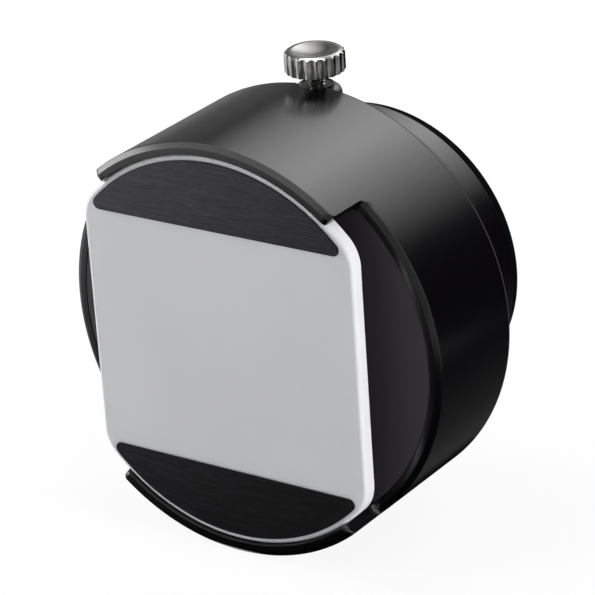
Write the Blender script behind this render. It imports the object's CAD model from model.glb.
# %% [markdown]
# # Dressing a slide duplicator
#
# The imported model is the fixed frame: every piece below sits where that frame says and rides on one
# of its bodies. The script models the pieces that show as finished meshes, gives each finish its own
# material, and sets a camera, a floor and soft light. Lengths are written in millimetres and turned
# to metres when a piece is finished.

# %% Load the frame
import math

import bmesh
import bpy
from mathutils import Matrix, Vector


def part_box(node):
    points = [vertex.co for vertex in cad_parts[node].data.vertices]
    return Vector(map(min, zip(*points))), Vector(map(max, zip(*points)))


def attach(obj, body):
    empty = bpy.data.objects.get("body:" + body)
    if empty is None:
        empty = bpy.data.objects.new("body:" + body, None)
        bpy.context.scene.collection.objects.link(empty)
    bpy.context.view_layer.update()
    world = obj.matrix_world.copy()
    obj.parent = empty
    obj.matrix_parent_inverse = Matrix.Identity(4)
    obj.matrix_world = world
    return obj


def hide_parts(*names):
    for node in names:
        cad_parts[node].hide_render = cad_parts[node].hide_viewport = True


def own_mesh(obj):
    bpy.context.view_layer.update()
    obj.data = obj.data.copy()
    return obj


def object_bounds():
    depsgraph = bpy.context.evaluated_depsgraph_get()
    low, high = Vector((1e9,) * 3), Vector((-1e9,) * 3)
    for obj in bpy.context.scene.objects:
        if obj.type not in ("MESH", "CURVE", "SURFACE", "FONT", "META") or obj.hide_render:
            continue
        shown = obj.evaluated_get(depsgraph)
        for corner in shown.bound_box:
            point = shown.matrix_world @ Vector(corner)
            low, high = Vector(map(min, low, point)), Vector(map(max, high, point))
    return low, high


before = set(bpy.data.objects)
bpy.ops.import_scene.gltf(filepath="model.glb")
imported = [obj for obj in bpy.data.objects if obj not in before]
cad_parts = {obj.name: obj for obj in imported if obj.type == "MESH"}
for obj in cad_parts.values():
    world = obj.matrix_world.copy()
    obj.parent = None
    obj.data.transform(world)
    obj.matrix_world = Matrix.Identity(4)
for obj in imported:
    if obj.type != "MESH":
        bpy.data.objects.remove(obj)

for name in ("Cube", "Light", "Camera"):
    if name in bpy.data.objects:
        bpy.data.objects.remove(bpy.data.objects[name])
cad_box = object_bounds()
print("CAD box in mm:", [round(high - low, 5) * 1000 for low, high in zip(*cad_box)])

# %% [markdown]
# ## Driving sizes
#
# A piece that replaces part of the frame must stay the same size, so the main sizes are measured
# from the frame's own boxes. Sizes that a box can't tell, such as the wall of the drum, are written
# once here. Places along the optical axis count from the front plane of the drum's lips.

# %% Driving sizes
MM = 0.001


def measured(node, axis, end):
    """The lowest (end 0) or highest (end 1) place of a node along an axis, in millimetres."""
    return round(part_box(node)[end]["XYZ".index(axis)] / MM, 3)


HEAD_FRONT = measured("outer_shell", "Y", 0)


def middle_along(node):
    """The middle of a node along the optical axis, from the front plane of the lips."""
    return (measured(node, "Y", 0) + measured(node, "Y", 1)) / 2 - HEAD_FRONT


DRUM_RADIUS = measured("outer_shell", "Z", 1)
DRUM_LENGTH = measured("outer_shell", "Y", 1) - HEAD_FRONT
DRUM_WALL = 2.0
DRUM_BORE = DRUM_RADIUS - DRUM_WALL
CUT_FLOOR = measured("gate_plate", "Y", 0) - HEAD_FRONT
PLATE_BACK = measured("gate_plate", "Y", 1) - HEAD_FRONT
CLAMP_ALONG = middle_along("cup_washer")
CLAMP_AXIS = HEAD_FRONT + CLAMP_ALONG
BOSS_TOP = measured("clamp_collar", "Z", 1)
print(f"drum {DRUM_RADIUS * 2:.1f} mm across, {DRUM_LENGTH:.1f} mm long, clamp screw at {CLAMP_ALONG:.1f} mm")

# %% [markdown]
# ## Small helpers
#
# Turned pieces start as a flat outline, whose corners are rounded while it is still flat, and are
# then spun. Plates start as a flat outline too and are raised to their thickness. One function does
# the closing work for every piece: it puts the mesh in place, welds it, turns its faces outwards,
# keeps flat faces flat and names the body that it rides on. A cutter reaches a millimetre past what
# it cuts, because a Boolean is unsure where two faces lie in one plane.

# %% Helpers for shapes
WHOLE_TURN = 2 * math.pi
WELD = 0.0002
REACH = 1
FINE_STEPS = 360
STUD_STEPS = 128
HOLE_STEPS = 96
SHARP = math.radians(28)


def moved(bm, vec):
    """Shifts a whole mesh."""
    bmesh.ops.translate(bm, vec=vec, verts=bm.verts[:])
    return bm


def turned(bm, degrees, axis):
    """Turns a whole mesh about an axis through the origin."""
    bmesh.ops.rotate(bm, cent=(0, 0, 0), matrix=Matrix.Rotation(math.radians(degrees), 3, axis),
                     verts=bm.verts[:])
    return bm


def outline(points, axis="Y"):
    """A flat face through (radius, place) points, beside the Y or the Z axis."""
    bm = bmesh.new()
    lift = {"Y": (1, 0), "Z": (0, 1)}[axis]
    bm.faces.new([bm.verts.new((out, place * lift[0], place * lift[1])) for out, place in points])
    return bm


def round_corners(bm, size, wanted, segments=3):
    """Rounds the corners of a flat outline that meet a rule."""
    corners = [vert for vert in bm.verts if wanted(vert.co)]
    bmesh.ops.bevel(bm, geom=corners, offset=size, offset_type="OFFSET", affect="VERTICES",
                    segments=segments, profile=0.5, material=-1)
    return bm


def spun(bm, axis="Y", steps=FINE_STEPS):
    """Turns a flat outline into a body of revolution."""
    bmesh.ops.delete(bm, geom=bm.faces[:], context="FACES_ONLY")
    on_axis = [edge for edge in bm.edges if all(abs(vert.co.x) < WELD for vert in edge.verts)]
    bmesh.ops.delete(bm, geom=on_axis, context="EDGES")
    way = {"Y": (0, 1, 0), "Z": (0, 0, 1)}[axis]
    bmesh.ops.spin(bm, geom=bm.verts[:] + bm.edges[:], cent=(0, 0, 0), axis=way, dvec=(0, 0, 0),
                   angle=WHOLE_TURN, steps=steps, use_merge=True)
    return welded(bm)


def welded(bm):
    """Merges doubled vertices and turns the faces outwards."""
    bmesh.ops.remove_doubles(bm, verts=bm.verts[:], dist=WELD)
    bmesh.ops.dissolve_degenerate(bm, edges=bm.edges[:], dist=WELD / 2)
    bmesh.ops.recalc_face_normals(bm, faces=bm.faces[:])
    return bm


def raised(bm, faces, way):
    """Extrudes faces by a vector and gives the faces at the far end. Their edges go in too, because
    without them the operator leaves the old faces inside the solid."""
    edges = list({edge for face in faces for edge in face.edges})
    made = bmesh.ops.extrude_face_region(bm, geom=faces + edges)["geom"]
    far = [item for item in made if isinstance(item, bmesh.types.BMVert)]
    bmesh.ops.translate(bm, vec=way, verts=far)
    return [item for item in made if isinstance(item, bmesh.types.BMFace)]


def soften(bm, width, segments=2, wanted=lambda edge: True):
    """Rounds the outer edges of a closed mesh a little, as every real edge is."""
    bmesh.ops.recalc_face_normals(bm, faces=bm.faces[:])
    edges = [edge for edge in bm.edges if len(edge.link_faces) == 2 and edge.is_convex
             and edge.calc_face_angle() > SHARP and wanted(edge)]
    bmesh.ops.bevel(bm, geom=edges, offset=width, offset_type="OFFSET", affect="EDGES",
                    segments=segments, profile=0.5, material=-1)
    return bm


def as_mesh(bm, name):
    """Turns a drawing into a mesh and frees it."""
    mesh = bpy.data.meshes.new(name)
    bm.to_mesh(mesh)
    bm.free()
    return mesh


def placed(name, data):
    """A new object with its data, in the scene."""
    made = bpy.data.objects.new(name, data)
    bpy.context.scene.collection.objects.link(made)
    return made


def combined(bm, other, operation):
    """Cuts, joins or intersects two closed meshes with a Boolean modifier."""
    objects = [placed("boolean", as_mesh(part, "boolean")) for part in (bm, welded(other))]
    modifier = objects[0].modifiers.new("cut", "BOOLEAN")
    modifier.operation = operation
    modifier.solver = "EXACT"
    modifier.object = objects[1]
    seen = objects[0].evaluated_get(bpy.context.evaluated_depsgraph_get())
    result = bmesh.new()
    result.from_mesh(bpy.data.meshes.new_from_object(seen))
    for item in objects:
        bpy.data.objects.remove(item)
    return result


def rod(radius, low, high, centre=(0, 0), steps=HOLE_STEPS):
    """A closed cylinder along Z, from low to high, with its middle at an X and Y."""
    bm = bmesh.new()
    bmesh.ops.create_cone(bm, cap_ends=True, segments=steps, radius1=radius, radius2=radius,
                          depth=high - low)
    return moved(bm, (*centre, (low + high) / 2))


def block(low, high):
    """A closed box between two corners."""
    bm = bmesh.new()
    bmesh.ops.create_cube(bm, size=1)
    size = Vector(high) - Vector(low)
    bmesh.ops.scale(bm, vec=size, verts=bm.verts[:])
    return moved(bm, Vector(low) + size / 2)


# %% Helper that finishes a piece
def finished(bm, name, body, material, stands_for, along=HEAD_FRONT):
    """Puts a mesh in place, in metres, gives it its material and lets it ride on its body."""
    welded(moved(bm, (0, along, 0)))
    bmesh.ops.scale(bm, vec=(MM, MM, MM), verts=bm.verts[:])
    mesh = as_mesh(bm, name)
    mesh.shade_smooth()
    mesh.set_sharp_from_angle(angle=SHARP)
    mesh.materials.append(material)
    piece = placed(name, mesh)
    weighted = piece.modifiers.new("flat faces stay flat", "WEIGHTED_NORMAL")
    weighted.keep_sharp = True
    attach(piece, body)
    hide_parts(*stands_for)
    places = [[vert.co[axis] for vert in mesh.vertices] for axis in range(3)]
    size = [round((max(along_one) - min(along_one)) / MM, 2) for along_one in places]
    print(f"{name}: {len(mesh.polygons)} faces, {size} mm")
    return piece


def second_finish(piece, material, wanted):
    """Gives a second material to the faces that meet a rule on their middle and normal, in mm."""
    piece.data.materials.append(material)
    for face in piece.data.polygons:
        if wanted(face.center / MM, face.normal):
            face.material_index = 1


# %% [markdown]
# ## Helpers for materials
#
# Colours are written as the sRGB hex values that a designer would read off a swatch, and one
# function turns them to the linear values that the renderer needs. One more function adds a node,
# sets it up and links it, so that a material reads as a list of what its surface is made of. Most
# surfaces have one grain, which drives tone, gloss and bump together, so one function makes those.

# %% Helpers for materials
def linear(hex_colour):
    """An sRGB hex colour as linear red, green, blue and alpha."""
    channels = [int(hex_colour[start:start + 2], 16) / 255 for start in (1, 3, 5)]
    return tuple(c / 12.92 if c <= 0.04045 else ((c + 0.055) / 1.055) ** 2.4 for c in channels) + (1.0,)


def add(tree, kind, inputs=None, **settings):
    """Adds a node; inputs holds values or the outputs of other nodes, by the input's name or place."""
    made = tree.nodes.new(kind)
    for key, value in settings.items():
        setattr(made, key, value)
    for key, value in (inputs or {}).items():
        if isinstance(value, bpy.types.NodeSocket):
            tree.links.new(value, made.inputs[key])
        else:
            made.inputs[key].default_value = value
    return made


def emptied(owner):
    """Switches a material or a world to nodes and gives its empty tree."""
    owner.use_nodes = True
    owner.node_tree.nodes.clear()
    return owner.node_tree


def new_material(name, **shader_inputs):
    """A material with a Principled shader; gives the material, its tree, the shader and the place."""
    material = bpy.data.materials.new(name)
    tree = emptied(material)
    inputs = {key.replace("_", " "): value for key, value in shader_inputs.items()}
    shader = add(tree, "ShaderNodeBsdfPrincipled", inputs)
    add(tree, "ShaderNodeOutputMaterial", {"Surface": shader.outputs[0]})
    place = add(tree, "ShaderNodeTexCoord").outputs["Object"]
    return material, tree, shader, place


def stretched_noise(tree, place, spacing_mm, **noise_inputs):
    """Noise whose grains measure that many millimetres: one number, or one each for X, Y and Z."""
    if not isinstance(spacing_mm, tuple):
        spacing_mm = (spacing_mm,) * 3
    scale = tuple(1 / (size * MM) for size in spacing_mm)
    mapped = add(tree, "ShaderNodeMapping", {"Vector": place, "Scale": scale})
    inputs = {"Vector": mapped.outputs[0], "Scale": 1.0, "Detail": 2.0, **noise_inputs}
    return add(tree, "ShaderNodeTexNoise", inputs).outputs[0]


def ranged(tree, value, low, high, start=0.0, end=1.0):
    """A value between start and end turned to one between low and high."""
    return add(tree, "ShaderNodeMapRange", {"Value": value, "From Min": start, "From Max": end,
                                            "To Min": low, "To Max": high}).outputs[0]


def calculated(tree, operation, first, second):
    """What a math node makes of two values."""
    return add(tree, "ShaderNodeMath", {0: first, 1: second}, operation=operation).outputs[0]


def tinted(tree, value, dark, light):
    """A colour between two, by a value from 0 to 1."""
    mixed = add(tree, "ShaderNodeMix", data_type="RGBA")
    tree.links.new(value, mixed.inputs[0])
    mixed.inputs[6].default_value = linear(dark)
    mixed.inputs[7].default_value = linear(light)
    return mixed.outputs[2]


def bumped(tree, height, depth_mm, strength=1.0):
    """A bump of a real depth in millimetres."""
    inputs = {"Height": height, "Distance": depth_mm * MM, "Strength": strength}
    return add(tree, "ShaderNodeBump", inputs).outputs[0]


def dressed(tree, shader, colour, rough, normal):
    """Links a colour, a roughness and a bump to the shader."""
    for key, value in (("Base Color", colour), ("Roughness", rough), ("Normal", normal)):
        tree.links.new(value, shader.inputs[key])


def worked(name, dark, light, rough, grain_mm, depth_mm, metallic=1.0, detail=3.0, strength=1.0, **more):
    """A surface with one grain: two tones, a range of roughness and a bump of a real depth."""
    material, tree, shader, place = new_material(name, Metallic=metallic, **more)
    grain = stretched_noise(tree, place, grain_mm, Detail=detail)
    dressed(tree, shader, tinted(tree, grain, dark, light), ranged(tree, grain, *rough),
            bumped(tree, grain, depth_mm, strength))
    return material


# %% [markdown]
# ## Black anodised aluminium
#
# The drum, the collar and the tube are turned from aluminium, blasted with fine beads and dyed black
# in the anodising bath. It could be a black metal, but the dyed oxide is a clear hard skin, so a
# dielectric with a satin lobe is nearer: it is deep black face on and turns grey where the light
# grazes it. Aluminium oxide bends light more than a plastic or a paint does, hence the index of 1.77.
# Bead blasting leaves grains of about 0.1 mm; they are drawn at 0.25 mm, as coarse as they need to be
# to show at all. On a cut thread the grooves hold the light, so the thread's own finish is duller.

# %% Black anodised aluminium
GRAIN = 0.25
OXIDE_IOR = 1.77


def black_anodised():
    """Blasted and black anodised aluminium."""
    material, tree, shader, place = new_material("anodised aluminium, blasted, black", IOR=OXIDE_IOR)
    grain = stretched_noise(tree, place, GRAIN, Detail=4.0)
    cloud = stretched_noise(tree, place, 14)
    rough = calculated(tree, "ADD", ranged(tree, grain, 0.20, 0.27), ranged(tree, cloud, -0.02, 0.02))
    dressed(tree, shader, tinted(tree, grain, "#020103", "#060507"), rough, bumped(tree, grain, 0.002))
    return material


anodised = black_anodised()
thread_black = worked("anodised aluminium, cut thread, black", "#040405", "#09090A", (0.55, 0.65), 0.12,
                      0.003, metallic=0.0, IOR=1.5, Specular_IOR_Level=0.08)

# %% [markdown]
# ## Matte black anodised plate
#
# The gate plate faces the film, so its maker wants no glare from it: it is blasted coarser and left
# unpolished. It could share the drum's material, but its flat face then shines too much. It is
# rougher, with a slightly lifted black.

# %% Matte black plate
flat_black = worked("anodised aluminium, matte, black", "#302B2F", "#3C363B", (0.55, 0.68), 0.3, 0.006,
                    metallic=0.0, detail=5.0, IOR=1.5, Specular_IOR_Level=0.4)

# %% [markdown]
# ## Opal acrylic
#
# The diffuser is cast acrylic with white pigment, satin on its face. Light enters it and comes back
# softened, so its rounded edges glow. A plain white would look like paper; some subsurface scatter
# and a smooth satin skin tell it from paper, and a very slow cloud of tone keeps it from being flat.

# %% Opal acrylic
def opal():
    """Cast opal acrylic with a satin face."""
    material, tree, shader, place = new_material(
        "acrylic, cast, opal white", IOR=1.49, Subsurface_Weight=0.35, Subsurface_Scale=0.0012,
        Subsurface_Radius=(1.0, 0.95, 0.95))
    cloud = stretched_noise(tree, place, 22)
    skin = stretched_noise(tree, place, 0.4, Detail=3.0)
    dressed(tree, shader, tinted(tree, cloud, "#C1C1C2", "#C6C6C7"), ranged(tree, skin, 0.30, 0.38),
            bumped(tree, skin, 0.001))
    return material


opal_acrylic = opal()

# %% [markdown]
# ## Dark brushed plates
#
# Two thin aluminium plates are glued on the diffuser. They are brushed in one direction, sideways,
# then anodised dark grey. Brushing draws hairlines that are long sideways and very narrow upwards.
# They could be an anisotropic lobe alone, but the hairlines themselves show close up, so a noise
# stretched to 6 mm by 0.12 mm drives the tone, the gloss and a fine bump.

# %% Dark brushed plates
def brushed_plate():
    """Dark anodised aluminium sheet, brushed sideways."""
    material, tree, shader, place = new_material(
        "anodised aluminium sheet, brushed, dark", Metallic=1.0, Anisotropic=0.6,
        Anisotropic_Rotation=0.25)
    hair = stretched_noise(tree, place, (6, 6, 0.12), Detail=4.0)
    fine = stretched_noise(tree, place, (1.6, 1.6, 0.07), Detail=2.0)
    both = calculated(tree, "MULTIPLY", hair, fine)
    tone = ranged(tree, both, -0.4, 1.9)
    dressed(tree, shader, tinted(tree, tone, "#4D4C50", "#706F73"), ranged(tree, hair, 0.30, 0.42),
            bumped(tree, both, 0.004))
    return material


dark_plate = brushed_plate()

# %% [markdown]
# ## Nickel plate
#
# The knob is brass, turned and fluted, then plated with bright nickel. Nickel is a slightly warm
# metal mirror, softened by the cutter's rings under it. The rings run round the knob's axis, so
# their noise reads the distance from that axis rather than a direction. They are kept to the faces
# that look up, the dish and the rim, because on a wall they would turn to streaks.

# %% Nickel plate
def from_axis(tree, place, along_mm):
    """The distance of a point from the upright axis through a place along Y, in metres."""
    shifted = add(tree, "ShaderNodeMapping", {"Vector": place, "Location": (0, -along_mm * MM, 0)})
    parts = add(tree, "ShaderNodeSeparateXYZ", {0: shifted.outputs[0]})
    flat = add(tree, "ShaderNodeCombineXYZ", {0: parts.outputs[0], 1: parts.outputs[1]})
    return add(tree, "ShaderNodeVectorMath", {0: flat.outputs[0]}, operation="LENGTH").outputs["Value"]


def nickel():
    """Bright nickel plate on turned brass."""
    material, tree, shader, place = new_material("brass, turned, nickel plated", Metallic=1.0)
    out = from_axis(tree, place, CLAMP_AXIS)
    ring_place = add(tree, "ShaderNodeCombineXYZ", {0: out})
    rings = stretched_noise(tree, ring_place.outputs[0], (0.09, 1, 1), Detail=3.0)
    facing = add(tree, "ShaderNodeSeparateXYZ", {0: add(tree, "ShaderNodeTexCoord").outputs["Normal"]})
    level = ranged(tree, facing.outputs[2], 0.0, 1.0, start=0.5, end=0.8)
    rings = calculated(tree, "MULTIPLY", rings, level)
    haze = stretched_noise(tree, place, (0.8, 0.8, 2.5), Detail=2.0)
    dressed(tree, shader, tinted(tree, haze, "#AFAEAC", "#BAB9B7"), ranged(tree, haze, 0.17, 0.22),
            bumped(tree, rings, 0.0008, 0.6))
    return material


nickel_plate = nickel()

# %% [markdown]
# ## Gloss black enamel
#
# The cup washer and the knob's neck are stoved in gloss black: a deep black under a smooth clear
# skin, with the faint orange peel that a sprayed and baked coat has. The coat is a second, sharper
# lobe.

# %% Gloss black enamel
black_enamel = worked("steel, stoved enamel, gloss black", "#030304", "#070708", (0.16, 0.24), 0.7, 0.004,
                      metallic=0.0, detail=1.0, strength=0.5, IOR=1.4, Coat_Weight=0.25, Coat_Roughness=0.06)

# %% [markdown]
# ## Metals and plastics of the inner pieces
#
# Inner pieces show through the side cuts, from behind or when the tool is taken apart, so they get
# real finishes as well. They differ by colour and by how their surface was made, and each has one
# grain.

# %% Metals and plastics of the inner pieces
# Black oxide is thin and lets the steel's grey show through at the edges.
oxide_steel = worked("steel, black oxide", "#2B2B2D", "#3A3A3C", (0.32, 0.45), 0.2, 0.003)
# Music wire is drawn through a die, which leaves fine lines along it and a grey shine.
music_wire = worked("music wire, drawn", "#8E8E90", "#A9A9AA", (0.22, 0.34), 0.1, 0.001)
# Bearing balls are lapped to a near mirror.
ball_steel = worked("bearing steel, lapped", "#C4C4C6", "#D2D2D3", (0.04, 0.09), 0.5, 0.0002)
# Turned brass keeps rings from the tool and dulls a little in the air.
turned_brass = worked("brass, turned", "#A98442", "#C79E54", (0.24, 0.38), (0.6, 0.6, 0.06), 0.002)
# Natural nylon is milky and waxy; light goes a little way into it.
nylon = worked("nylon, moulded, natural", "#D2CDBE", "#DDD9CC", (0.42, 0.52), 0.5, 0.002,
               metallic=0.0, IOR=1.53, Subsurface_Weight=0.3, Subsurface_Scale=0.001)
# Glass-filled black plastic has a dull skin with a fine moulded texture.
black_plastic = worked("glass-filled nylon, moulded, black", "#0F0F10", "#171718", (0.5, 0.62),
                       0.25, 0.004, metallic=0.0, IOR=1.5)
# A cut edge of a dyed plate stays dull and black.
cut_edge = worked("anodised aluminium, cut edge, black", "#050506", "#0A0A0B", (0.5, 0.6), 0.1, 0.001,
                  metallic=0.0, IOR=1.4)
# An edge broken with a scraper after blasting takes the dye thinly, so it is dull and a little grey.
scraped_edge = worked("anodised aluminium, scraped edge", "#2B292B", "#363436", (0.55, 0.65), 0.1,
                      0.001, metallic=0.0, IOR=1.4, Specular_IOR_Level=0.2)

CAD_FINISHES = {
    oxide_steel: ("stop_ring_screws", "collar_screws", "cover_screws", "gate_screws", "diffuser_screws"),
    music_wire: ("baffle_clip",),
    ball_steel: ("detent_ball_top", "detent_ball_bottom"),
    turned_brass: ("detent_sleeve_top", "detent_sleeve_bottom", "clamp_bush"),
    nylon: ("brake_ring", "clamp_pad"),
    black_plastic: ("holder_rail_top", "holder_rail_bottom"),
    anodised: ("stop_ring", "rear_cover"),
    flat_black: ("light_baffle",),
}
for finish, names in CAD_FINISHES.items():
    for name in names:
        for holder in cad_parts[name].material_slots:
            holder.material = finish
print("finishes given to", sum(len(names) for names in CAD_FINISHES.values()), "pieces of the frame")

# %% [markdown]
# ## The drum
#
# The drum is a turned tube whose front is milled away on both sides, so that an upper and a lower
# lip stand. It could be spun and cut with Booleans, but the cuts' rounded corners then come out
# rough. Here the wall is drawn unrolled, as a flat strip: the corners are rounded while it is flat,
# the strip is sliced at every degree, raised to its thickness with the chamfers, and then rolled up.
# It is sliced the other way too: where the rib starts and ends, and at the line near the rear edge
# behind which the edge was broken with a scraper.

# %% The wall, unrolled
LIP_HALF = 40
CUT_CORNER = 1.5
LIP_CORNER = 0.9
CHAMFER_ACROSS = 0.9
CHAMFER_ALONG = 0.65
REAR_EDGE = 0.2
EDGE_ROUND = 0.07
SCRAPED_WIDTH = 0.22
EDGE_LINE = DRUM_LENGTH - REAR_EDGE - SCRAPED_WIDTH
RIB_THICKNESS = 3.0
RIB_PLACES = (PLATE_BACK, PLATE_BACK + RIB_THICKNESS)
RIB_OPENING = 29.6
BORE_SLACK = 0.01
PER_DEGREE = DRUM_RADIUS * math.radians(1)
SEAM_START, SEAM_END = 90, 450


def unrolled_wall():
    """The wall laid flat: the way round the drum is X, the optical axis is Y."""
    points = [(SEAM_START, CUT_FLOOR)]
    for middle in (180, 360):
        left, right = middle - LIP_HALF, middle + LIP_HALF
        points += [(left, CUT_FLOOR), (left, 0), (right, 0), (right, CUT_FLOOR)]
    points += [(SEAM_END, CUT_FLOOR), (SEAM_END, DRUM_LENGTH), (SEAM_START, DRUM_LENGTH)]
    bm = bmesh.new()
    bm.faces.new([bm.verts.new((degrees * PER_DEGREE, along, 0)) for degrees, along in points])
    ends = (SEAM_START * PER_DEGREE, SEAM_END * PER_DEGREE)

    def at_cut(place):
        return abs(place.y - CUT_FLOOR) < WELD and min(abs(place.x - end) for end in ends) > WELD

    round_corners(bm, CUT_CORNER, at_cut, segments=10)
    round_corners(bm, LIP_CORNER, lambda place: place.y < WELD, segments=6)
    slices = [((degrees * PER_DEGREE, 0, 0), (1, 0, 0)) for degrees in range(SEAM_START + 1, SEAM_END)]
    slices += [((0, along, 0), (0, 1, 0)) for along in (*RIB_PLACES, EDGE_LINE)]
    for point, normal in slices:
        bmesh.ops.bisect_plane(bm, geom=bm.verts[:] + bm.edges[:] + bm.faces[:], dist=WELD,
                               plane_co=point, plane_no=normal)
    return bm


strip = unrolled_wall()
print("unrolled wall:", len(strip.faces), "faces,", round(360 * PER_DEGREE, 1), "mm round")


# %% The wall, raised and rolled up
def raised_wall(bm):
    """Gives the flat wall its thickness, with the chamfers of its front edges and its rear edge."""
    moved(bm, (0, 0, DRUM_BORE))
    faces, height = bm.faces[:], DRUM_BORE
    steps = ((DRUM_RADIUS - CHAMFER_ACROSS, 0, 0),
             (DRUM_RADIUS - REAR_EDGE, CHAMFER_ALONG * (1 - REAR_EDGE / CHAMFER_ACROSS), 0),
             (DRUM_RADIUS, CHAMFER_ALONG * REAR_EDGE / CHAMFER_ACROSS, -REAR_EDGE))
    for top, front_shift, rear_shift in steps:
        faces = raised(bm, faces, (0, 0, top - height))
        corners = {vert for face in faces for vert in face.verts}
        front = [vert for vert in corners if vert.co.y < CUT_FLOOR + CHAMFER_ALONG + WELD]
        rear = [vert for vert in corners if vert.co.y > DRUM_LENGTH - WELD]
        bmesh.ops.translate(bm, vec=(0, front_shift, 0), verts=front)
        bmesh.ops.translate(bm, vec=(0, rear_shift, 0), verts=rear)
        height = top
    return bm


def rolled_up(bm):
    """Rolls the raised wall up into the drum and closes its seam."""
    for end in (SEAM_START * PER_DEGREE, SEAM_END * PER_DEGREE):
        seam = [face for face in bm.faces if all(abs(vert.co.x - end) < WELD for vert in face.verts)]
        bmesh.ops.delete(bm, geom=seam, context="FACES_ONLY")
    for vert in bm.verts:
        angle = vert.co.x / DRUM_RADIUS
        vert.co = (math.sin(angle) * vert.co.z, vert.co.y, math.cos(angle) * vert.co.z)
    return welded(bm)


wall = rolled_up(raised_wall(strip))
print("rolled wall:", len(wall.faces), "faces")

# %% [markdown]
# The rib inside, which the gate plate is screwed to, is drawn inwards out of the wall's own faces.
# A notch in the rear edge clears the boss of the clamp screw, and two holes below take the grub
# screws that lock the collar. Those are cut last, after the edges are softened. The rear edge's
# scraped band gets its own finish.

# %% The rib, the edges, the notch and the grub holes
GRUB_ANGLES = (150, -150)
GRUB_ALONG = middle_along("collar_screws")
GRUB_RADIUS = 1.0
NOTCH_RADIUS = 3.2


def with_rib(bm):
    """Draws the rib inwards out of the faces between its two places."""
    low, high = RIB_PLACES
    inside = [face for face in bm.faces if low < face.calc_center_median().y < high
              and all(Vector((v.co.x, v.co.z)).length < DRUM_BORE + BORE_SLACK for v in face.verts)]
    made = raised(bm, inside, (0, 0, 0))
    share = RIB_OPENING / DRUM_BORE
    bmesh.ops.scale(bm, vec=(share, 1, share), verts=list({v for face in made for v in face.verts}))
    return bm


def grub_hole(angle):
    """The cutter for a grub screw's hole, through the wall at an angle from the top."""
    bm = rod(GRUB_RADIUS, DRUM_BORE - REACH, DRUM_RADIUS + REACH, steps=HOLE_STEPS // 2)
    return moved(turned(bm, angle, "Y"), (0, GRUB_ALONG, 0))


drum = soften(with_rib(wall), EDGE_ROUND)
notch = rod(NOTCH_RADIUS, DRUM_BORE - REACH, DRUM_RADIUS + REACH, (0, CLAMP_ALONG))
drum = combined(drum, notch, "DIFFERENCE")
for angle in GRUB_ANGLES:
    drum = combined(drum, grub_hole(angle), "DIFFERENCE")
drum = finished(drum, "drum", "head", anodised, ["outer_shell"])
second_finish(drum, scraped_edge, lambda middle, normal: middle.y > HEAD_FRONT + EDGE_LINE
              and math.hypot(middle.x, middle.z) > DRUM_RADIUS - REAR_EDGE / 2)

# %% [markdown]
# ## The gate plate
#
# The film lies against this plate, and the picture shows through its opening. The opening's corners
# are rounded flat, then the outline is bridged to the plate's round edge and raised. The front rim
# has a fine rounded edge, which catches the light as a thin line beside the side cuts.

# %% The gate plate
SEAT_RADIUS = measured("gate_plate", "X", 1)
GATE_HALF = (19.0, 13.0)
GATE_CORNER = 2.0
PLATE_EDGE = 0.25


def turned_to_face(bm):
    """Stands a flat drawing up: its Y becomes Z and its Z points to the front."""
    return turned(bm, 90, "X")


def gate_plate():
    """A disc with a rounded picture opening, drawn flat and stood up."""
    bm = bmesh.new()
    across, up = GATE_HALF
    corners = ((-across, -up), (across, -up), (across, up), (-across, up))
    bm.faces.new([bm.verts.new((*corner, -PLATE_BACK)) for corner in corners])
    round_corners(bm, GATE_CORNER, lambda place: True, segments=8)
    bmesh.ops.delete(bm, geom=bm.faces[:], context="FACES_ONLY")
    bmesh.ops.create_circle(bm, cap_ends=False, segments=FINE_STEPS, radius=SEAT_RADIUS,
                            matrix=Matrix.Translation((0, 0, -PLATE_BACK)))
    bmesh.ops.bridge_loops(bm, edges=bm.edges[:])
    raised(bm, bm.faces[:], (0, 0, PLATE_BACK - CUT_FLOOR))

    def front_rim(edge):
        return all(vert.co.z > -CUT_FLOOR - WELD for vert in edge.verts)

    soften(bm, PLATE_EDGE, segments=2, wanted=front_rim)
    return turned_to_face(bm)


finished(gate_plate(), "film_gate", "head", flat_black, ["gate_plate"])

# %% [markdown]
# ## The diffuser and its two plates
#
# All three are a circle with straight cuts and rounded corners. Spinning one vertex draws an arc, so
# each outline is walked round: an arc at a corner, the large arc, the next corner. A corner of
# radius r touches the large arc where a line from the middle of the circle passes its own centre.

# %% Helpers that walk round a rounded circle segment
CORNER_STEPS = 10
ARC_STEPS = 96


def arc_from(bm, start, centre, degrees, steps):
    """Draws an arc by spinning a vertex about a centre; gives the vertex that it ends at."""
    made = bmesh.ops.spin(bm, geom=[start], cent=(*centre, 0), axis=(0, 0, 1), dvec=(0, 0, 0),
                          angle=math.radians(degrees), steps=steps)
    return next(item for item in made["geom_last"] if isinstance(item, bmesh.types.BMVert))


def round_top(bm, start, out, up, corner_degrees, lean):
    """Draws a corner's arc, the large arc over the middle of the circle, and the next corner's."""
    corner = arc_from(bm, start, (out, up), corner_degrees, CORNER_STEPS)
    top = arc_from(bm, corner, (0, 0), 180 - 2 * lean, ARC_STEPS)
    arc_from(bm, top, (-out, up), corner_degrees, CORNER_STEPS)


def closed_face(bm):
    """Welds the drawn line and fills it with one face."""
    bmesh.ops.remove_doubles(bm, verts=bm.verts[:], dist=WELD * 5)
    bmesh.ops.contextual_create(bm, geom=bm.edges[:])
    return bm


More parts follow.
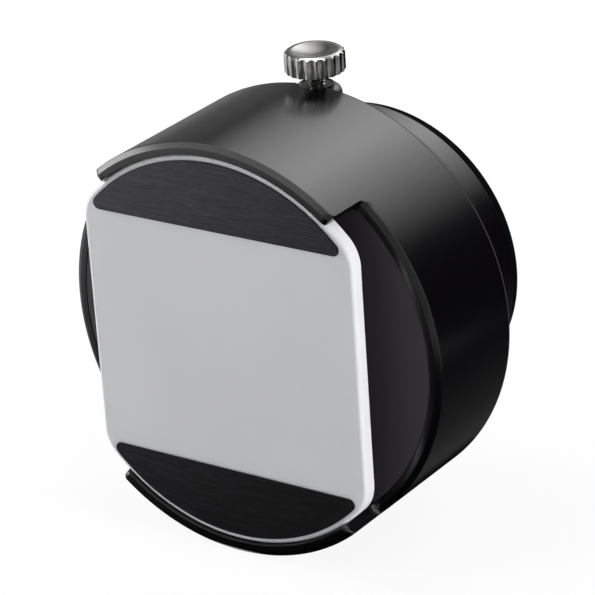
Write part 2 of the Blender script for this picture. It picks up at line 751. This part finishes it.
# %% The diffuser
DIFFUSER_GAP = 0.1
DIFFUSER_RADIUS = DRUM_BORE - DIFFUSER_GAP
DIFFUSER_HALF = measured("diffuser", "X", 1)
DIFFUSER_FRONT = measured("diffuser", "Y", 0) - HEAD_FRONT
DIFFUSER_BACK = measured("diffuser", "Y", 1) - HEAD_FRONT
DIFFUSER_CORNER = 6.5
DIFFUSER_ROUND = 0.6


def diffuser():
    """The opal plate, with two straight sides and a soft front edge."""
    bm = bmesh.new()
    out = DIFFUSER_HALF - DIFFUSER_CORNER
    up = math.sqrt((DIFFUSER_RADIUS - DIFFUSER_CORNER) ** 2 - out ** 2)
    lean = math.degrees(math.atan2(up, out))
    for side in (1, -1):
        low = bm.verts.new((side * DIFFUSER_HALF, -side * up, 0))
        high = bm.verts.new((side * DIFFUSER_HALF, side * up, 0))
        bm.edges.new((low, high))
        round_top(bm, high, side * out, side * up, lean, lean)
    moved(closed_face(bm), (0, 0, -DIFFUSER_BACK))
    front = raised(bm, bm.faces[:], (0, 0, DIFFUSER_BACK - DIFFUSER_FRONT))
    rim = {edge for face in front for edge in face.edges}
    soften(bm, DIFFUSER_ROUND, segments=6, wanted=lambda edge: edge in rim)
    return turned_to_face(bm)


finished(diffuser(), "opal_diffuser", "head", opal_acrylic, ["diffuser"])

# %% The two dark plates
PLATE_RADIUS = measured("label_plate_top", "Z", 1)
PLATE_LINE = measured("label_plate_top", "Z", 0)
PLATE_FRONT = measured("label_plate_top", "Y", 0) - HEAD_FRONT
PLATE_CORNER = 1.1
PLATE_SOFT = 0.14
FACING_FRONT = 0.97


def dark_segment(turn):
    """A thin plate under an arc, drawn for the top and turned for the bottom."""
    bm = bmesh.new()
    up = PLATE_LINE + PLATE_CORNER
    out = math.sqrt((PLATE_RADIUS - PLATE_CORNER) ** 2 - up ** 2)
    lean = math.degrees(math.atan2(up, out))
    left = bm.verts.new((-out, PLATE_LINE, 0))
    right = bm.verts.new((out, PLATE_LINE, 0))
    bm.edges.new((left, right))
    round_top(bm, right, out, up, 90 + lean, lean)
    moved(closed_face(bm), (0, 0, -DIFFUSER_FRONT))
    raised(bm, bm.faces[:], (0, 0, DIFFUSER_FRONT - PLATE_FRONT))
    soften(bm, PLATE_SOFT, segments=2)
    return turned_to_face(turned(bm, turn, "Z"))


for end, turn in (("top", 0), ("bottom", 180)):
    plate = finished(dark_segment(turn), f"dark_plate_{end}", "head", dark_plate,
                     [f"label_plate_{end}"])
    second_finish(plate, cut_edge, lambda middle, normal: abs(normal.y) < FACING_FRONT)

# %% [markdown]
# ## The clamp collar
#
# The collar fills the rear of the drum and carries the boss that the thumbscrew goes into. The ring
# is spun. The boss is two turned studs, a wide one with a rounded shoulder behind the drum and a
# slimmer one in the drum's notch. Booleans join them, as the real one is milled from one ring.

# %% The clamp collar
COLLAR_FRONT = measured("clamp_collar", "Y", 0) - HEAD_FRONT
GROOVE_BACK = measured("clamp_collar", "Y", 1) - HEAD_FRONT
GROOVE_WALL = 1.2
GROOVE_FRONT = COLLAR_FRONT + GROOVE_WALL
COLLAR_BORE = 27.15
GROOVE_RADIUS = 29.5
HUB_RADIUS = measured("rear_cover", "Z", 1)
SHOULDER_RADIUS = 4.2
SHOULDER_ROUND = 1.4
SHOULDER_GAP = 0.05
KEEP_HALF = 9
STEM_RADIUS = 3.15
STEM_ROUND = 0.15
COLLAR_ROUND = 0.1
BUSH_RADIUS = measured("clamp_bush", "X", 1)


def collar_ring():
    """The ring, with the groove that the brake ring lies in."""
    bm = outline(((COLLAR_BORE, COLLAR_FRONT), (SEAT_RADIUS, COLLAR_FRONT), (SEAT_RADIUS, DRUM_LENGTH),
                  (HUB_RADIUS, DRUM_LENGTH), (HUB_RADIUS, GROOVE_BACK), (GROOVE_RADIUS, GROOVE_BACK),
                  (GROOVE_RADIUS, GROOVE_FRONT), (COLLAR_BORE, GROOVE_FRONT)))
    round_corners(bm, COLLAR_ROUND,
                  lambda place: place.x > HUB_RADIUS - WELD and place.y > COLLAR_FRONT + WELD)
    return spun(bm)


def stud(foot, radius, top_round, segments):
    """A round stud on the clamp's axis, with its top edge rounded."""
    bm = outline(((0, foot), (radius, foot), (radius, BOSS_TOP), (0, BOSS_TOP)), "Z")
    round_corners(bm, top_round, lambda place: place.x > WELD and place.z > foot + WELD, segments)
    return moved(spun(bm, "Z", STUD_STEPS), (0, CLAMP_ALONG, 0))


def boss():
    """The rounded shoulder behind the drum, and the stem in the drum's notch."""
    foot = (GROOVE_RADIUS + HUB_RADIUS) / 2
    keep = block((-KEEP_HALF, DRUM_LENGTH + SHOULDER_GAP, foot - REACH),
                 (KEEP_HALF, GROOVE_BACK, BOSS_TOP + REACH))
    shoulder = combined(stud(foot, SHOULDER_RADIUS, SHOULDER_ROUND, 10), keep, "INTERSECT")
    return combined(welded(shoulder), stud(foot, STEM_RADIUS, STEM_ROUND, 3), "UNION")


collar = combined(collar_ring(), boss(), "UNION")
bush_hole = rod(BUSH_RADIUS, GROOVE_RADIUS - 2 * REACH, BOSS_TOP + REACH, (0, CLAMP_ALONG))
collar = combined(collar, bush_hole, "DIFFERENCE")
finished(collar, "collar_with_boss", "head", anodised, ["clamp_collar"])

# %% [markdown]
# ## The tube and its lens thread
#
# The tube is spun, and a keyway for the brake ring's tongue is cut along its underside. The male
# filter thread is a helix: one triangular tooth is spun several turns while it moves along by one
# pitch a turn. A metric thread is 0.61 of its pitch deep, and its crest is a narrow flat. The tooth
# fades out at both ends, as a cut thread runs in and out.

# %% Helpers that wind a thread
THREAD_DEPTH = 0.61
FOOT_SHARE = 0.46
CREST_SHARE = 0.06
SINK_SHARE = 0.15
FADE_SHARE = 0.3


def thread(root, crest, pitch, turns, start, axis="Y", steps=180):
    """A helical ridge round an axis, faded at both ends, that sits a little into its core."""
    sink = (crest - root) * SINK_SHARE
    way = Vector((0, 1, 0) if axis == "Y" else (0, 0, 1))
    bm = bmesh.new()
    half, flat_half = pitch * FOOT_SHARE, pitch * CREST_SHARE
    tooth = [bm.verts.new(Vector((out, 0, 0)) + way * (start + place)) for out, place in
             ((root - sink, -half), (crest, -flat_half), (crest, flat_half), (root - sink, half))]
    edges = [bm.edges.new((tooth[i - 1], tooth[i])) for i in range(4)]
    count = int(steps * turns)
    made = bmesh.ops.spin(bm, geom=tooth + edges, cent=(0, 0, 0), axis=way, dvec=way * (pitch / steps),
                          angle=WHOLE_TURN * turns, steps=count)
    last = [item for item in made["geom_last"] if isinstance(item, bmesh.types.BMEdge)]
    bmesh.ops.contextual_create(bm, geom=edges)
    bmesh.ops.contextual_create(bm, geom=last)
    fade_length = pitch * FADE_SHARE
    low, high = start, start + pitch * turns
    for vert in bm.verts:
        flat = vert.co - way * vert.co.dot(way)
        place = vert.co.dot(way)
        angle = math.atan2(-flat.z, flat.x) if axis == "Y" else math.atan2(flat.y, flat.x)
        middle = round((place - start) / pitch - (angle % WHOLE_TURN) / WHOLE_TURN) * pitch
        middle += start + (angle % WHOLE_TURN) / WHOLE_TURN * pitch
        share = min(1, max(0, (middle - low) / fade_length), max(0, (high - middle) / fade_length))
        if flat.length > root:
            vert.co += flat.normalized() * (root - sink - flat.length) * (1 - share)
    return bm


def joined(bm, other):
    """Adds another mesh to this one."""
    mesh = as_mesh(other, "joined")
    bm.from_mesh(mesh)
    bpy.data.meshes.remove(mesh)
    return bm


# %% The tube
TUBE_FRONT = measured("lens_tube", "Y", 0)
TUBE_RADIUS = measured("lens_tube", "X", 1)
THREAD_END = measured("lens_tube", "Y", 1)
TUBE_BORE = 24.5
TUBE_THROAT = 23.9
BAFFLE_BACK = -8.0
BAFFLE_FRONT = -8.8
CLIP_FRONT = -9.4
CLIP_GROOVE = 25.0
THREAD_CREST = 26.0
THREAD_PITCH = 0.75
THREAD_START = 0.5
THREAD_TURNS = 3.4
THREAD_ROOT = THREAD_CREST - THREAD_DEPTH * THREAD_PITCH
THREAD_EDGE = 0.12
THREAD_CLEAR = 0.03
STEP_IN = 0.6
STEP_RADIUS = THREAD_ROOT - STEP_IN
STEP_LENGTH = 0.4
KEYWAY_HALF = 1.0
KEYWAY_FLOOR = 26.0
KEYWAY_END = -5.3
TUBE_EDGE = 0.25


def tube():
    """The sliding tube with its shoulder, the seats of baffle and clip, and the keyway."""
    bm = outline(((TUBE_BORE, TUBE_FRONT), (TUBE_RADIUS, TUBE_FRONT), (TUBE_RADIUS, 0),
                  (STEP_RADIUS, 0), (STEP_RADIUS, STEP_LENGTH), (TUBE_THROAT, STEP_LENGTH),
                  (TUBE_THROAT, BAFFLE_BACK), (TUBE_BORE, BAFFLE_BACK), (TUBE_BORE, BAFFLE_FRONT),
                  (CLIP_GROOVE, BAFFLE_FRONT), (CLIP_GROOVE, CLIP_FRONT), (TUBE_BORE, CLIP_FRONT)))
    round_corners(bm, TUBE_EDGE, lambda place: place.x > TUBE_RADIUS - WELD and abs(place.y) < WELD)
    bm = spun(bm)
    groove = block((-KEYWAY_HALF, TUBE_FRONT - REACH, -TUBE_RADIUS - REACH),
                   (KEYWAY_HALF, KEYWAY_END, -KEYWAY_FLOOR))
    return combined(bm, groove, "DIFFERENCE")


def lens_thread():
    """The core that the thread is cut on, with its helical ridge."""
    core = outline(((TUBE_THROAT, STEP_LENGTH), (STEP_RADIUS, STEP_LENGTH), (STEP_RADIUS, 0),
                    (THREAD_ROOT, 0), (THREAD_ROOT, THREAD_END), (TUBE_THROAT, THREAD_END)))
    round_corners(core, THREAD_EDGE, lambda place: place.y > THREAD_END - WELD)
    ridge = thread(THREAD_ROOT, THREAD_CREST, THREAD_PITCH, THREAD_TURNS, THREAD_START)
    bmesh.ops.bisect_plane(ridge, geom=ridge.verts[:] + ridge.edges[:] + ridge.faces[:], clear_outer=True,
                           plane_co=(0, THREAD_END - THREAD_CLEAR, 0), plane_no=(0, 1, 0))
    bmesh.ops.holes_fill(ridge, edges=[edge for edge in ridge.edges if edge.is_boundary])
    return joined(spun(core), ridge)


finished(tube(), "sliding_tube", "lens_barrel", anodised, ["lens_tube"], along=0)
finished(lens_thread(), "lens_thread", "lens_barrel", thread_black, ["lens_tube"], along=0)

# %% [markdown]
# ## The cup washer and the clamp screw
#
# The washer is a shallow dish with a thin raised rim, and the rim draws one fine bright line under
# the knob. The screw is a plain stem below, which turns in its pad, and an M3 thread above.

# %% The cup washer
WASHER_RADIUS = measured("cup_washer", "X", 1)
WASHER_TOP = measured("cup_washer", "Z", 1)
WASHER_SHEET = 0.15
WASHER_FLOOR = BOSS_TOP + WASHER_SHEET
WASHER_RIM = 0.2
WASHER_EDGE = 0.08
RIM_ROUND = 0.06
WASHER_STEPS = 160
SCREW_BORE = 1.5


def cup_washer():
    """A dish with a thin rounded rim."""
    bm = outline(((SCREW_BORE, BOSS_TOP), (WASHER_RADIUS - WASHER_EDGE, BOSS_TOP),
                  (WASHER_RADIUS, BOSS_TOP + WASHER_EDGE),
                  (WASHER_RADIUS, WASHER_TOP), (WASHER_RADIUS - WASHER_RIM, WASHER_TOP),
                  (WASHER_RADIUS - WASHER_RIM * 2, WASHER_FLOOR), (SCREW_BORE, WASHER_FLOOR)), "Z")
    round_corners(bm, RIM_ROUND, lambda place: place.z > WASHER_TOP - WELD, 4)
    return spun(bm, "Z", WASHER_STEPS)


finished(cup_washer(), "black_cup_washer", "head", black_enamel, ["cup_washer"],
         along=CLAMP_AXIS)

# %% The clamp screw
SCREW_FOOT = measured("clamp_screw", "Z", 0)
SCREW_HEAD = measured("clamp_screw", "Z", 1)
SCREW_CREST = measured("clamp_screw", "X", 1)
SCREW_PITCH = 0.5
SCREW_ROOT = SCREW_CREST - THREAD_DEPTH * SCREW_PITCH
SCREW_STEPS = 72
PAD_STEM = 0.9
PAD_STEM_LENGTH = 0.8
PAD_STEM_ROUND = 0.1
STEM_TOP = SCREW_FOOT + PAD_STEM_LENGTH


def clamp_screw():
    """The pad's stem and the threaded shank."""
    bm = outline(((0, SCREW_FOOT), (PAD_STEM, SCREW_FOOT), (PAD_STEM, STEM_TOP), (SCREW_ROOT, STEM_TOP),
                  (SCREW_ROOT, SCREW_HEAD), (0, SCREW_HEAD)), "Z")
    round_corners(bm, PAD_STEM_ROUND, lambda place: place.x > WELD and place.z < STEM_TOP - WELD)
    turns = (SCREW_HEAD - STEM_TOP) / SCREW_PITCH - 1
    start = STEM_TOP + SCREW_PITCH / 2
    return joined(spun(bm, "Z", SCREW_STEPS),
                  thread(SCREW_ROOT, SCREW_CREST, SCREW_PITCH, turns, start, "Z", SCREW_STEPS))


finished(clamp_screw(), "threaded_clamp_screw", "thumbscrew", nickel_plate, ["clamp_screw"],
         along=CLAMP_AXIS)

# %% [markdown]
# ## The fluted knob
#
# The knob is the piece that hands and eyes go to first. It is turned as a disc with a neck, a bevel
# and a dished top, and then a round cutter mills 21 flutes parallel to its axis. The disc is spun
# with twenty columns a flute, and each column is pulled in to where the cutter's circle runs. Where
# the wall meets the bevel, a column that is pulled in also rises, because the bevel is a cone, and
# the foot's edge drops for the same reason. The neck is enamelled black, like the washer it turns in.

# %% The fluted knob
KNOB_TOP = measured("knob", "Z", 1)
KNOB_NECK_FOOT = measured("knob", "Z", 0)
KNOB_RADIUS = 5.0
KNOB_HEIGHT = 3.55
NECK_RADIUS = 1.9
KNOB_FOOT = KNOB_TOP - KNOB_HEIGHT
BEVEL_ACROSS = 0.7
BEVEL_DROP = 0.45
FOOT_EDGE = 0.2
KNOB_RIM = 0.6
NECK_ROUND = 0.12
DISH_ROUND = 0.08
KNOB_SOFT = 0.03
DISH_DEPTH = 0.8
DISH_STEPS = 14
FLUTES = 21
FLUTE_CUTTER = 0.9
FLUTE_DEPTH = 0.38
FLUTE_START = 6.7
COLUMNS = 20


def knob_blank():
    """The turned disc before it is fluted."""
    dish = KNOB_RADIUS - BEVEL_ACROSS - KNOB_RIM
    ball = (dish ** 2 + DISH_DEPTH ** 2) / (2 * DISH_DEPTH)
    half_angle = math.asin(dish / ball)
    hollow = []
    for step in range(DISH_STEPS + 1):
        angle = half_angle * step / DISH_STEPS
        hollow.append((ball * math.sin(angle), KNOB_TOP - DISH_DEPTH + ball * (1 - math.cos(angle))))
    wall_top = KNOB_TOP - BEVEL_DROP
    points = [(0, KNOB_NECK_FOOT), (NECK_RADIUS, KNOB_NECK_FOOT), (NECK_RADIUS, KNOB_FOOT),
              (KNOB_RADIUS - FOOT_EDGE, KNOB_FOOT), (KNOB_RADIUS, KNOB_FOOT + FOOT_EDGE),
              (KNOB_RADIUS, wall_top), (KNOB_RADIUS - BEVEL_ACROSS, KNOB_TOP)]
    bm = outline(points + hollow[::-1], "Z")
    round_corners(bm, NECK_ROUND, lambda p: abs(p.x - NECK_RADIUS) < WELD and p.z < KNOB_FOOT - WELD)
    round_corners(bm, DISH_ROUND, lambda p: abs(p.x - dish) < WELD and p.z > KNOB_TOP - WELD)
    return spun(bm, "Z", FLUTES * COLUMNS)


def flute_radius(angle):
    """How far out the wall stands at an angle, where round flutes are cut into the disc."""
    pitch = WHOLE_TURN / FLUTES
    off = (angle + pitch / 2) % pitch - pitch / 2
    centre = KNOB_RADIUS + FLUTE_CUTTER - FLUTE_DEPTH
    inside = FLUTE_CUTTER ** 2 - (centre * math.sin(off)) ** 2
    if inside <= 0:
        return KNOB_RADIUS
    return min(KNOB_RADIUS, centre * math.cos(off) - math.sqrt(inside))


def fluted(bm):
    """Pulls the wall, the bevel and the foot's edge in to the flutes, and sets the first flute's place."""
    for vert in bm.verts:
        out = math.hypot(vert.co.x, vert.co.y)
        limit = flute_radius(math.atan2(vert.co.y, vert.co.x))
        if out > limit:
            pulled = out - limit
            vert.co.x *= limit / out
            vert.co.y *= limit / out
            if abs(vert.co.z - (KNOB_TOP - BEVEL_DROP)) < WELD:
                vert.co.z += pulled * BEVEL_DROP / BEVEL_ACROSS
            elif abs(vert.co.z - (KNOB_FOOT + FOOT_EDGE)) < WELD:
                vert.co.z = max(KNOB_FOOT, vert.co.z - pulled)
    return turned(bm, FLUTE_START, "Z")


knob = finished(soften(fluted(knob_blank()), KNOB_SOFT), "fluted_knob", "thumbscrew", nickel_plate,
                ["knob"], along=CLAMP_AXIS)
second_finish(knob, black_enamel, lambda middle, normal: middle.z < KNOB_FOOT - WELD)

# %% [markdown]
# ## The springs of the click stops
#
# A coil of music wire stands behind each click ball, in a sleeve in the rail. It is the one piece
# inside that changes its shape: it shortens as its ball is pressed in.

# %% The springs of the click stops
SPRING_WIRE = 0.15
WIRE_SIDES = 14
SPRING_TURNS = 4
STEPS_A_TURN = 24


def coil(height, radius):
    """A coil of round wire that stands on its foot and climbs along Z."""
    bm = bmesh.new()
    upright = Matrix.Rotation(math.radians(90), 4, "X")
    bmesh.ops.create_circle(bm, segments=WIRE_SIDES, radius=SPRING_WIRE, matrix=upright)
    moved(bm, (radius, 0, SPRING_WIRE))
    steps = SPRING_TURNS * STEPS_A_TURN
    bmesh.ops.spin(bm, geom=bm.verts[:] + bm.edges[:], cent=(0, 0, 0), axis=(0, 0, 1),
                   dvec=(0, 0, (height - 2 * SPRING_WIRE) / steps), angle=WHOLE_TURN * SPRING_TURNS,
                   steps=steps)
    bmesh.ops.holes_fill(bm, edges=bm.edges[:])
    bmesh.ops.recalc_face_normals(bm, faces=bm.faces[:])
    return bm


for end, way in (("top", 1), ("bottom", -1)):
    low, high = (Vector(corner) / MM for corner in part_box(f"detent_spring_{end}"))
    spring_height = high.z - low.z
    bm = coil(spring_height, (high.x - low.x) / 2 - SPRING_WIRE)
    if way < 0:
        turned(bm, 180, "Y")
    moved(bm, (0, 0, low.z if way > 0 else high.z))
    spring = finished(bm, f"click_spring_{end}", "head", music_wire,
                      [f"detent_spring_{end}"], along=(low.y + high.y) / 2)
    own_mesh(spring)

# %% [markdown]
# ## Floor, light and camera
#
# The object stands on a white floor that the camera sees nearly at full white, while the floor's own
# diffuse share keeps the shadow. Black satin shows only what it reflects, so light and reflections
# are set apart. Four softboxes light the object and don't show in its gloss. Cards, which only
# reflections see, draw the gloss: a bright round one behind and above for the drum's long highlight,
# dark and grey ones at the sides for its flank, and bright ones above and on the left for the knob.
# Cards just over the table fade along it, as the light of a real table does, and a small black one
# under the object stands for its contact shadow. The camera looks down through a long lens from half
# a metre away, far enough round that the diffuser, a side cut and the knob all show.

# %% Floor and background
FLOOR_WHITE = 0.9
FLOOR_SIZE = 12
WHITE = (1, 1, 1, 1)


def seen_white(tree):
    """1 for rays that should see the background: from the camera, off gloss and through glass."""
    rays = add(tree, "ShaderNodeLightPath").outputs
    seen = rays["Is Camera Ray"]
    for kind in ("Is Glossy Ray", "Is Transmission Ray"):
        seen = calculated(tree, "MAXIMUM", seen, rays[kind])
    return seen


def floor_material():
    """White paper: a diffuse share that takes the shadow, the rest plain white."""
    material = bpy.data.materials.new("paper, white")
    tree = emptied(material)
    paper = add(tree, "ShaderNodeBsdfDiffuse", {"Color": linear("#EDEDED")})
    glow = add(tree, "ShaderNodeEmission", {"Color": WHITE, "Strength": 1.0})
    share = calculated(tree, "MULTIPLY", seen_white(tree), FLOOR_WHITE)
    mixed = add(tree, "ShaderNodeMixShader", {0: share, 1: paper.outputs[0], 2: glow.outputs[0]})
    add(tree, "ShaderNodeOutputMaterial", {"Surface": mixed.outputs[0]})
    return material


def flat_sheet(name, width, height, matrix, material, round_one=False):
    """A flat card or floor that belongs to the stage, not to the object."""
    bm = bmesh.new()
    if round_one:
        bmesh.ops.create_circle(bm, cap_ends=True, segments=96, radius=0.5)
    else:
        bmesh.ops.create_grid(bm, x_segments=1, y_segments=1, size=0.5)
    bmesh.ops.scale(bm, vec=(width, height, 1), verts=bm.verts[:])
    bmesh.ops.transform(bm, matrix=matrix, verts=bm.verts[:])
    mesh = as_mesh(bm, name)
    mesh.materials.append(material)
    sheet = placed(name, mesh)
    return sheet


floor_level = cad_box[0].z
flat_sheet("paper_floor", FLOOR_SIZE, FLOOR_SIZE, Matrix.Translation((0, 0, floor_level)), floor_material())
print("floor at", round(floor_level / MM, 2), "mm")

# %% World
AMBIENT = 0.5

world = bpy.data.worlds.new("studio")
bpy.context.scene.world = world
tree = emptied(world)
room = add(tree, "ShaderNodeBackground", {"Color": linear("#F4F6FA"), "Strength": AMBIENT})
white = add(tree, "ShaderNodeBackground", {"Color": WHITE, "Strength": 1.0})
mixed = add(tree, "ShaderNodeMixShader", {0: seen_white(tree), 1: room.outputs[0], 2: white.outputs[0]})
add(tree, "ShaderNodeOutputWorld", {"Surface": mixed.outputs[0]})


# %% Lamps and cards, with places and sizes in metres
TARGET = Vector((0, -0.03, 0))
CARD_LIFT = 0.0005
UPPER_LIFT = 0.0008
FRONT_LEFT = (-0.62, -0.58, 0.47)


def aimed(place):
    """A matrix at a place whose Z axis points away from the target."""
    place = Vector(place)
    turn = (place - TARGET).to_track_quat("Z", "Y")
    return Matrix.Translation(place) @ turn.to_matrix().to_4x4()


def towards(azimuth, elevation, distance=0.6):
    """A place seen from the target in a direction: degrees from +Y towards +X, and degrees up."""
    turn, lift = math.radians(azimuth), math.radians(elevation)
    way = Vector((math.sin(turn) * math.cos(lift), math.cos(turn) * math.cos(lift), math.sin(lift)))
    return TARGET + way * distance


def on_table(across, along, lift):
    """A matrix that lays a card just over the table."""
    return Matrix.Translation((across, along, floor_level + lift))


def softbox(name, place, width, height, power):
    """A soft rectangular lamp that neither the camera nor a reflection sees."""
    data = bpy.data.lights.new(name, "AREA")
    data.shape = "RECTANGLE"
    data.size = width
    data.size_y = height
    data.energy = power
    lamp = placed(name, data)
    lamp.matrix_world = aimed(place)
    lamp.visible_camera = False
    lamp.visible_glossy = False


def card(name, tone, width, height, matrix, fade=None, fall=1.0, middle=None):
    """A card that only reflections see. Its tone can fade to black between two places along X, or
    between two distances from its middle, and then the card is round."""
    material = bpy.data.materials.new("card, " + name)
    tree = emptied(material)
    if fade:
        place = add(tree, "ShaderNodeTexCoord").outputs["Object"]
        if middle:
            gap = add(tree, "ShaderNodeVectorMath", {0: place, 1: middle}, operation="DISTANCE")
            along = gap.outputs["Value"]
        else:
            along = add(tree, "ShaderNodeSeparateXYZ", {0: place}).outputs[0]
        left = calculated(tree, "POWER", ranged(tree, along, 1.0, 0.0, *fade), fall)
        tone = calculated(tree, "MULTIPLY", left, tone)
    glow = add(tree, "ShaderNodeEmission", {"Color": WHITE, "Strength": tone})
    add(tree, "ShaderNodeOutputMaterial", {"Surface": glow.outputs[0]})
    sheet = flat_sheet(name, width, height, matrix, material, round_one=bool(middle))
    sheet.visible_camera = False
    sheet.visible_diffuse = False
    sheet.visible_shadow = False


softbox("overhead_softbox", towards(0, 41, 0.55), 0.36, 0.17, 0.87)
softbox("front_left_softbox", FRONT_LEFT, 0.30, 0.45, 2.8)
softbox("side_strip_right", (0.60, -0.05, 0.10), 0.10, 0.40, 4.6)
softbox("side_strip_left", (-0.60, -0.05, 0.10), 0.10, 0.40, 4.6)
sky = towards(0, 41, 0.5)
card("sky_card", 2.7, 0.82, 0.82, aimed(sky), (0.0, 0.41), 1.3, middle=sky)
card("front_table_card", 0.78, 2.0, 1.0, on_table(0.4, -0.53, CARD_LIFT), (-0.13, 0.04), 3.0)
card("back_table_card", 0.33, 2.0, 1.2, on_table(0.4, 0.57, CARD_LIFT), (-0.05, 0.10), 2.0)
card("right_table_card", 0.4, 0.42, 0.42, on_table(0.30, -0.14, UPPER_LIFT), (0.16, 0.09))
card("contact_card", 0.0, 0.055, 0.055, on_table(-0.004, -0.018, UPPER_LIFT))
card("right_card", 0.0, 1.2, 1.3, aimed(towards(38, 8, 0.85)))
card("left_card", 0.19, 1.3, 1.6, aimed(towards(-68, 14, 0.85)))
card("left_glow", 4.5, 0.4, 0.36, aimed(towards(-112, 8)))
card("front_left_card", 1.0, 0.30, 0.45, aimed(FRONT_LEFT))
card("front_card", 0.1, 0.6, 0.42, aimed(towards(-157, 2, 0.7)))
card("front_right_card", 0.25, 1.0, 0.9, aimed(towards(147, 5, 0.8)))
card("top_card", 3.6, 0.46, 0.46, aimed(towards(0, 90)))

# %% Camera
CAMERA_AZIMUTH = math.radians(35.635)
CAMERA_ELEVATION = math.radians(23.508)
CAMERA_ROLL = math.radians(3.983)
CAMERA_DISTANCE = 526.27
AIM_RIGHT = 12.111
AIM_UP = 8.976
SENSOR = 36.0
LENS = 200.51

back = Vector((math.sin(CAMERA_AZIMUTH) * math.cos(CAMERA_ELEVATION),
               -math.cos(CAMERA_AZIMUTH) * math.cos(CAMERA_ELEVATION), math.sin(CAMERA_ELEVATION)))
level = Vector((math.cos(CAMERA_AZIMUTH), math.sin(CAMERA_AZIMUTH), 0))
upright = back.cross(level)
right = math.cos(CAMERA_ROLL) * level - math.sin(CAMERA_ROLL) * upright
up = math.sin(CAMERA_ROLL) * level + math.cos(CAMERA_ROLL) * upright
aim = Vector((0, HEAD_FRONT, 0)) + AIM_RIGHT * right + AIM_UP * up
camera_data = bpy.data.cameras.new("camera")
camera_data.sensor_width = SENSOR
camera_data.lens = LENS
camera_data.clip_start = 0.01
camera = placed("camera", camera_data)
facing = Matrix((right, up, back)).transposed().to_4x4()
camera.matrix_world = Matrix.Translation((aim + CAMERA_DISTANCE * back) * MM) @ facing
bpy.context.scene.camera = camera
bpy.context.scene.view_settings.view_transform = "Standard"
print("camera", round(CAMERA_DISTANCE), "mm away")
